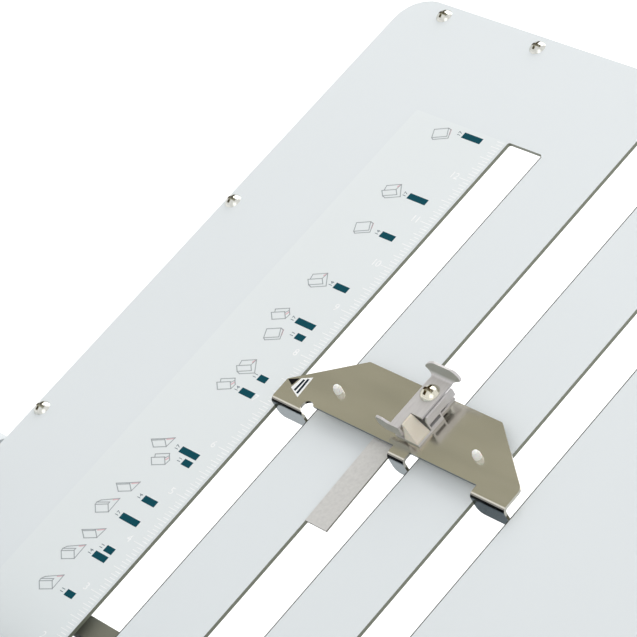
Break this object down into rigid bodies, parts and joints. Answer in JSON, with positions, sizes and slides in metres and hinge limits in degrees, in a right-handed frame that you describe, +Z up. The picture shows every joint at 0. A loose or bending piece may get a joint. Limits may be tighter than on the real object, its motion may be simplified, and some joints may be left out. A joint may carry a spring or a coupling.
{
  "type": "paper folding machine",
  "caption": "Desk paper folding machine: feed table and rollers between side covers, a slotted fold plate with a scale and a sliding paper stop, and a delivery tray.",
  "frame": {"origin": "on the surface the machine stands on, under the middle of its bounding box", "axes": "+X across the paper to the right seen from the feed side, +Y along the paper's travel from the feed table to the fold plate, +Z up"},
  "size_m": [0.47, 0.7296, 0.4438],
  "materials": {
    "painted_sheet": "light grey enamel, satin",
    "grey_steel": "grey paint",
    "zinc_steel": "zinc plated",
    "bright_steel": "polished stainless",
    "satin_steel": "brushed",
    "case_plastic": "fine grained moulding",
    "dark_plastic": "moulded",
    "ivory_plastic": "moulded acetal",
    "white_nylon": "moulded nylon",
    "gear_acetal": "moulded acetal",
    "bronze": "sintered bronze",
    "brass_gear": "cut brass",
    "roller_rubber": "ground rubber",
    "foot_rubber": "moulded rubber",
    "pad_cork": "cork rubber",
    "green_button": "moulded",
    "red_button": "moulded"
  },
  "bodies": {
    "machine": {"base_plate": "zinc_steel", "rubber_feet": "foot_rubber", "frame_left": "zinc_steel", "frame_right": "zinc_steel", "frame_rods": "zinc_steel", "cover_left": "case_plastic", "cover_right": "case_plastic", "bearings": "bronze", "motor": "dark_plastic", "upper_sheet": "painted_sheet", "lower_sheet": "painted_sheet", "side_rails": "zinc_steel", "end_bar": "zinc_steel", "cross_bar": "grey_steel", "plate_screws": "satin_steel", "second_upper_sheet": "painted_sheet", "second_lower_sheet": "painted_sheet", "second_rails": "zinc_steel", "feed_table": "painted_sheet", "separator_pad": "pad_cork", "delivery_tray": "painted_sheet", "power_inlet": "dark_plastic"},
    "roller_4": {"roller_4": "roller_rubber", "roller_gear_4": "gear_acetal", "drive_gear": "gear_acetal"},
    "roller_3": {"roller_3": "roller_rubber", "roller_gear_3": "gear_acetal"},
    "roller_2": {"roller_2": "roller_rubber", "roller_gear_2": "gear_acetal", "hand_knob": "dark_plastic"},
    "roller_1": {"roller_1": "roller_rubber", "roller_gear_1": "gear_acetal"},
    "feed_idler": {"feed_idler": "gear_acetal"},
    "feed_roller": {"feed_roller": "roller_rubber", "feed_gear": "gear_acetal"},
    "delivery_idler": {"delivery_idler": "gear_acetal"},
    "delivery_roller": {"delivery_roller": "roller_rubber", "delivery_gear": "gear_acetal"},
    "motor_pinion": {"motor_pinion": "brass_gear"},
    "lid": {"top_cover": "case_plastic"},
    "paper_stop": {"stop_plate": "bright_steel", "glide_studs": "white_nylon", "guide_tongue": "satin_steel", "clamp_bracket": "satin_steel", "pivot_block": "ivory_plastic", "clamp_pin": "zinc_steel", "clamp_screw": "satin_steel", "clamp_spring": "zinc_steel", "slide_shoe": "dark_plastic"},
    "clamp_lever": {"clamp_lever": "satin_steel"},
    "second_stop": {"second_stop": "bright_steel", "second_shoe": "dark_plastic"},
    "second_knob": {"second_knob": "dark_plastic"},
    "guide_left": {"guide_left": "dark_plastic"},
    "guide_right": {"guide_right": "dark_plastic"},
    "guide_pinion": {"guide_pinion": "gear_acetal"},
    "delivery_stop": {"delivery_stop": "dark_plastic"},
    "start_button": {"start_button": "green_button"},
    "stop_button": {"stop_button": "red_button"},
    "power_switch": {"power_switch": "dark_plastic"}
  },
  "joints": [
    {"name": "roller_4_turn", "type": "hinge", "parent": "machine", "child": "roller_4", "pos_m": [0, 0.05321, 0.1718], "axis": [1, 0, 0], "continuous": true},
    {"name": "roller_3_turn", "type": "hinge", "parent": "machine", "child": "roller_3", "pos_m": [0, 0.06416, 0.20187], "axis": [1, 0, 0], "continuous": true},
    {"name": "roller_2_turn", "type": "hinge", "parent": "machine", "child": "roller_2", "pos_m": [0, 0.04359, 0.22639], "axis": [1, 0, 0], "continuous": true},
    {"name": "roller_1_turn", "type": "hinge", "parent": "machine", "child": "roller_1", "pos_m": [0, 0.02677, 0.25361], "axis": [1, 0, 0], "continuous": true},
    {"name": "feed_idler_turn", "type": "hinge", "parent": "machine", "child": "feed_idler", "pos_m": [0, 0.00087, 0.26423], "axis": [1, 0, 0], "continuous": true},
    {"name": "feed_roller_turn", "type": "hinge", "parent": "machine", "child": "feed_roller", "pos_m": [0, -0.02282, 0.2493], "axis": [1, 0, 0], "continuous": true},
    {"name": "delivery_idler_turn", "type": "hinge", "parent": "machine", "child": "delivery_idler", "pos_m": [0, 0.0812, 0.17105], "axis": [1, 0, 0], "continuous": true},
    {"name": "delivery_roller_turn", "type": "hinge", "parent": "machine", "child": "delivery_roller", "pos_m": [0, 0.10146, 0.15818], "axis": [1, 0, 0], "continuous": true},
    {"name": "motor_pinion_turn", "type": "hinge", "parent": "machine", "child": "motor_pinion", "pos_m": [0, 0.06774, 0.1271], "axis": [1, 0, 0], "continuous": true},
    {"name": "lid_hinge", "type": "hinge", "parent": "machine", "child": "lid", "pos_m": [0, -0.05482, 0.286], "axis": [1, 0, 0], "range_deg": [0, 65]},
    {"name": "stop_slide", "type": "slide", "parent": "machine", "child": "paper_stop", "axis": [0, 0.8508, 0.5255], "range_m": [-0.111, 0.142]},
    {"name": "clamp_lever_hinge", "type": "hinge", "parent": "paper_stop", "child": "clamp_lever", "pos_m": [0, 0.19181, 0.35178], "axis": [-1, 0, 0], "range_deg": [0, 8], "stiffness_Nm_per_rad": 0.5, "springref_deg": -5.73, "deforming": ["clamp_spring"]},
    {"name": "second_stop_slide", "type": "slide", "parent": "machine", "child": "second_stop", "axis": [0, -0.766, -0.6428], "range_m": [-0.09, 0.034]},
    {"name": "second_knob_turn", "type": "hinge", "parent": "second_stop", "child": "second_knob", "pos_m": [-0.0064, -0.09456, 0.09389], "axis": [0, -0.6428, 0.766], "range_deg": [0, 270]},
    {"name": "guide_left_slide", "type": "slide", "parent": "machine", "child": "guide_left", "axis": [1, 0, 0], "range_m": [-0.04, 0.05]},
    {"name": "guide_right_slide", "type": "slide", "parent": "machine", "child": "guide_right", "axis": [1, 0, 0], "range_m": [-0.05, 0.04]},
    {"name": "guide_pinion_turn", "type": "hinge", "parent": "machine", "child": "guide_pinion", "pos_m": [0, -0.18982, 0.221], "axis": [0, 0, 1], "range_deg": [-286.5, 229.2]},
    {"name": "delivery_stop_slide", "type": "slide", "parent": "machine", "child": "delivery_stop", "axis": [0, 1, 0], "range_m": [-0.082, 0.027]},
    {"name": "start_button_press", "type": "slide", "parent": "machine", "child": "start_button", "axis": [0, 0, -1], "range_m": [0, 0.0025], "stiffness_N_per_m": 400, "springref_m": -0.002},
    {"name": "stop_button_press", "type": "slide", "parent": "machine", "child": "stop_button", "axis": [0, 0, -1], "range_m": [0, 0.0025], "stiffness_N_per_m": 400, "springref_m": -0.002},
    {"name": "power_switch_tip", "type": "hinge", "parent": "machine", "child": "power_switch", "pos_m": [0.20715, -0.09502, 0.18], "axis": [1, 0, 0], "range_deg": [-8, 8]}
  ],
  "couplings": [
    {"joint": "roller_3_turn", "follows": "roller_4_turn", "ratio": -1},
    {"joint": "roller_2_turn", "follows": "roller_4_turn", "ratio": 1},
    {"joint": "roller_1_turn", "follows": "roller_4_turn", "ratio": -1},
    {"joint": "feed_idler_turn", "follows": "roller_4_turn", "ratio": 1.3333},
    {"joint": "feed_roller_turn", "follows": "roller_4_turn", "ratio": -1},
    {"joint": "delivery_idler_turn", "follows": "roller_4_turn", "ratio": -1.3333},
    {"joint": "delivery_roller_turn", "follows": "roller_4_turn", "ratio": 1.3333},
    {"joint": "motor_pinion_turn", "follows": "roller_4_turn", "ratio": -5.7143},
    {"joint": "guide_right_slide", "follows": "guide_left_slide", "ratio": -1},
    {"joint": "guide_pinion_turn", "follows": "guide_left_slide", "rad_per_m": -100}
  ]
}
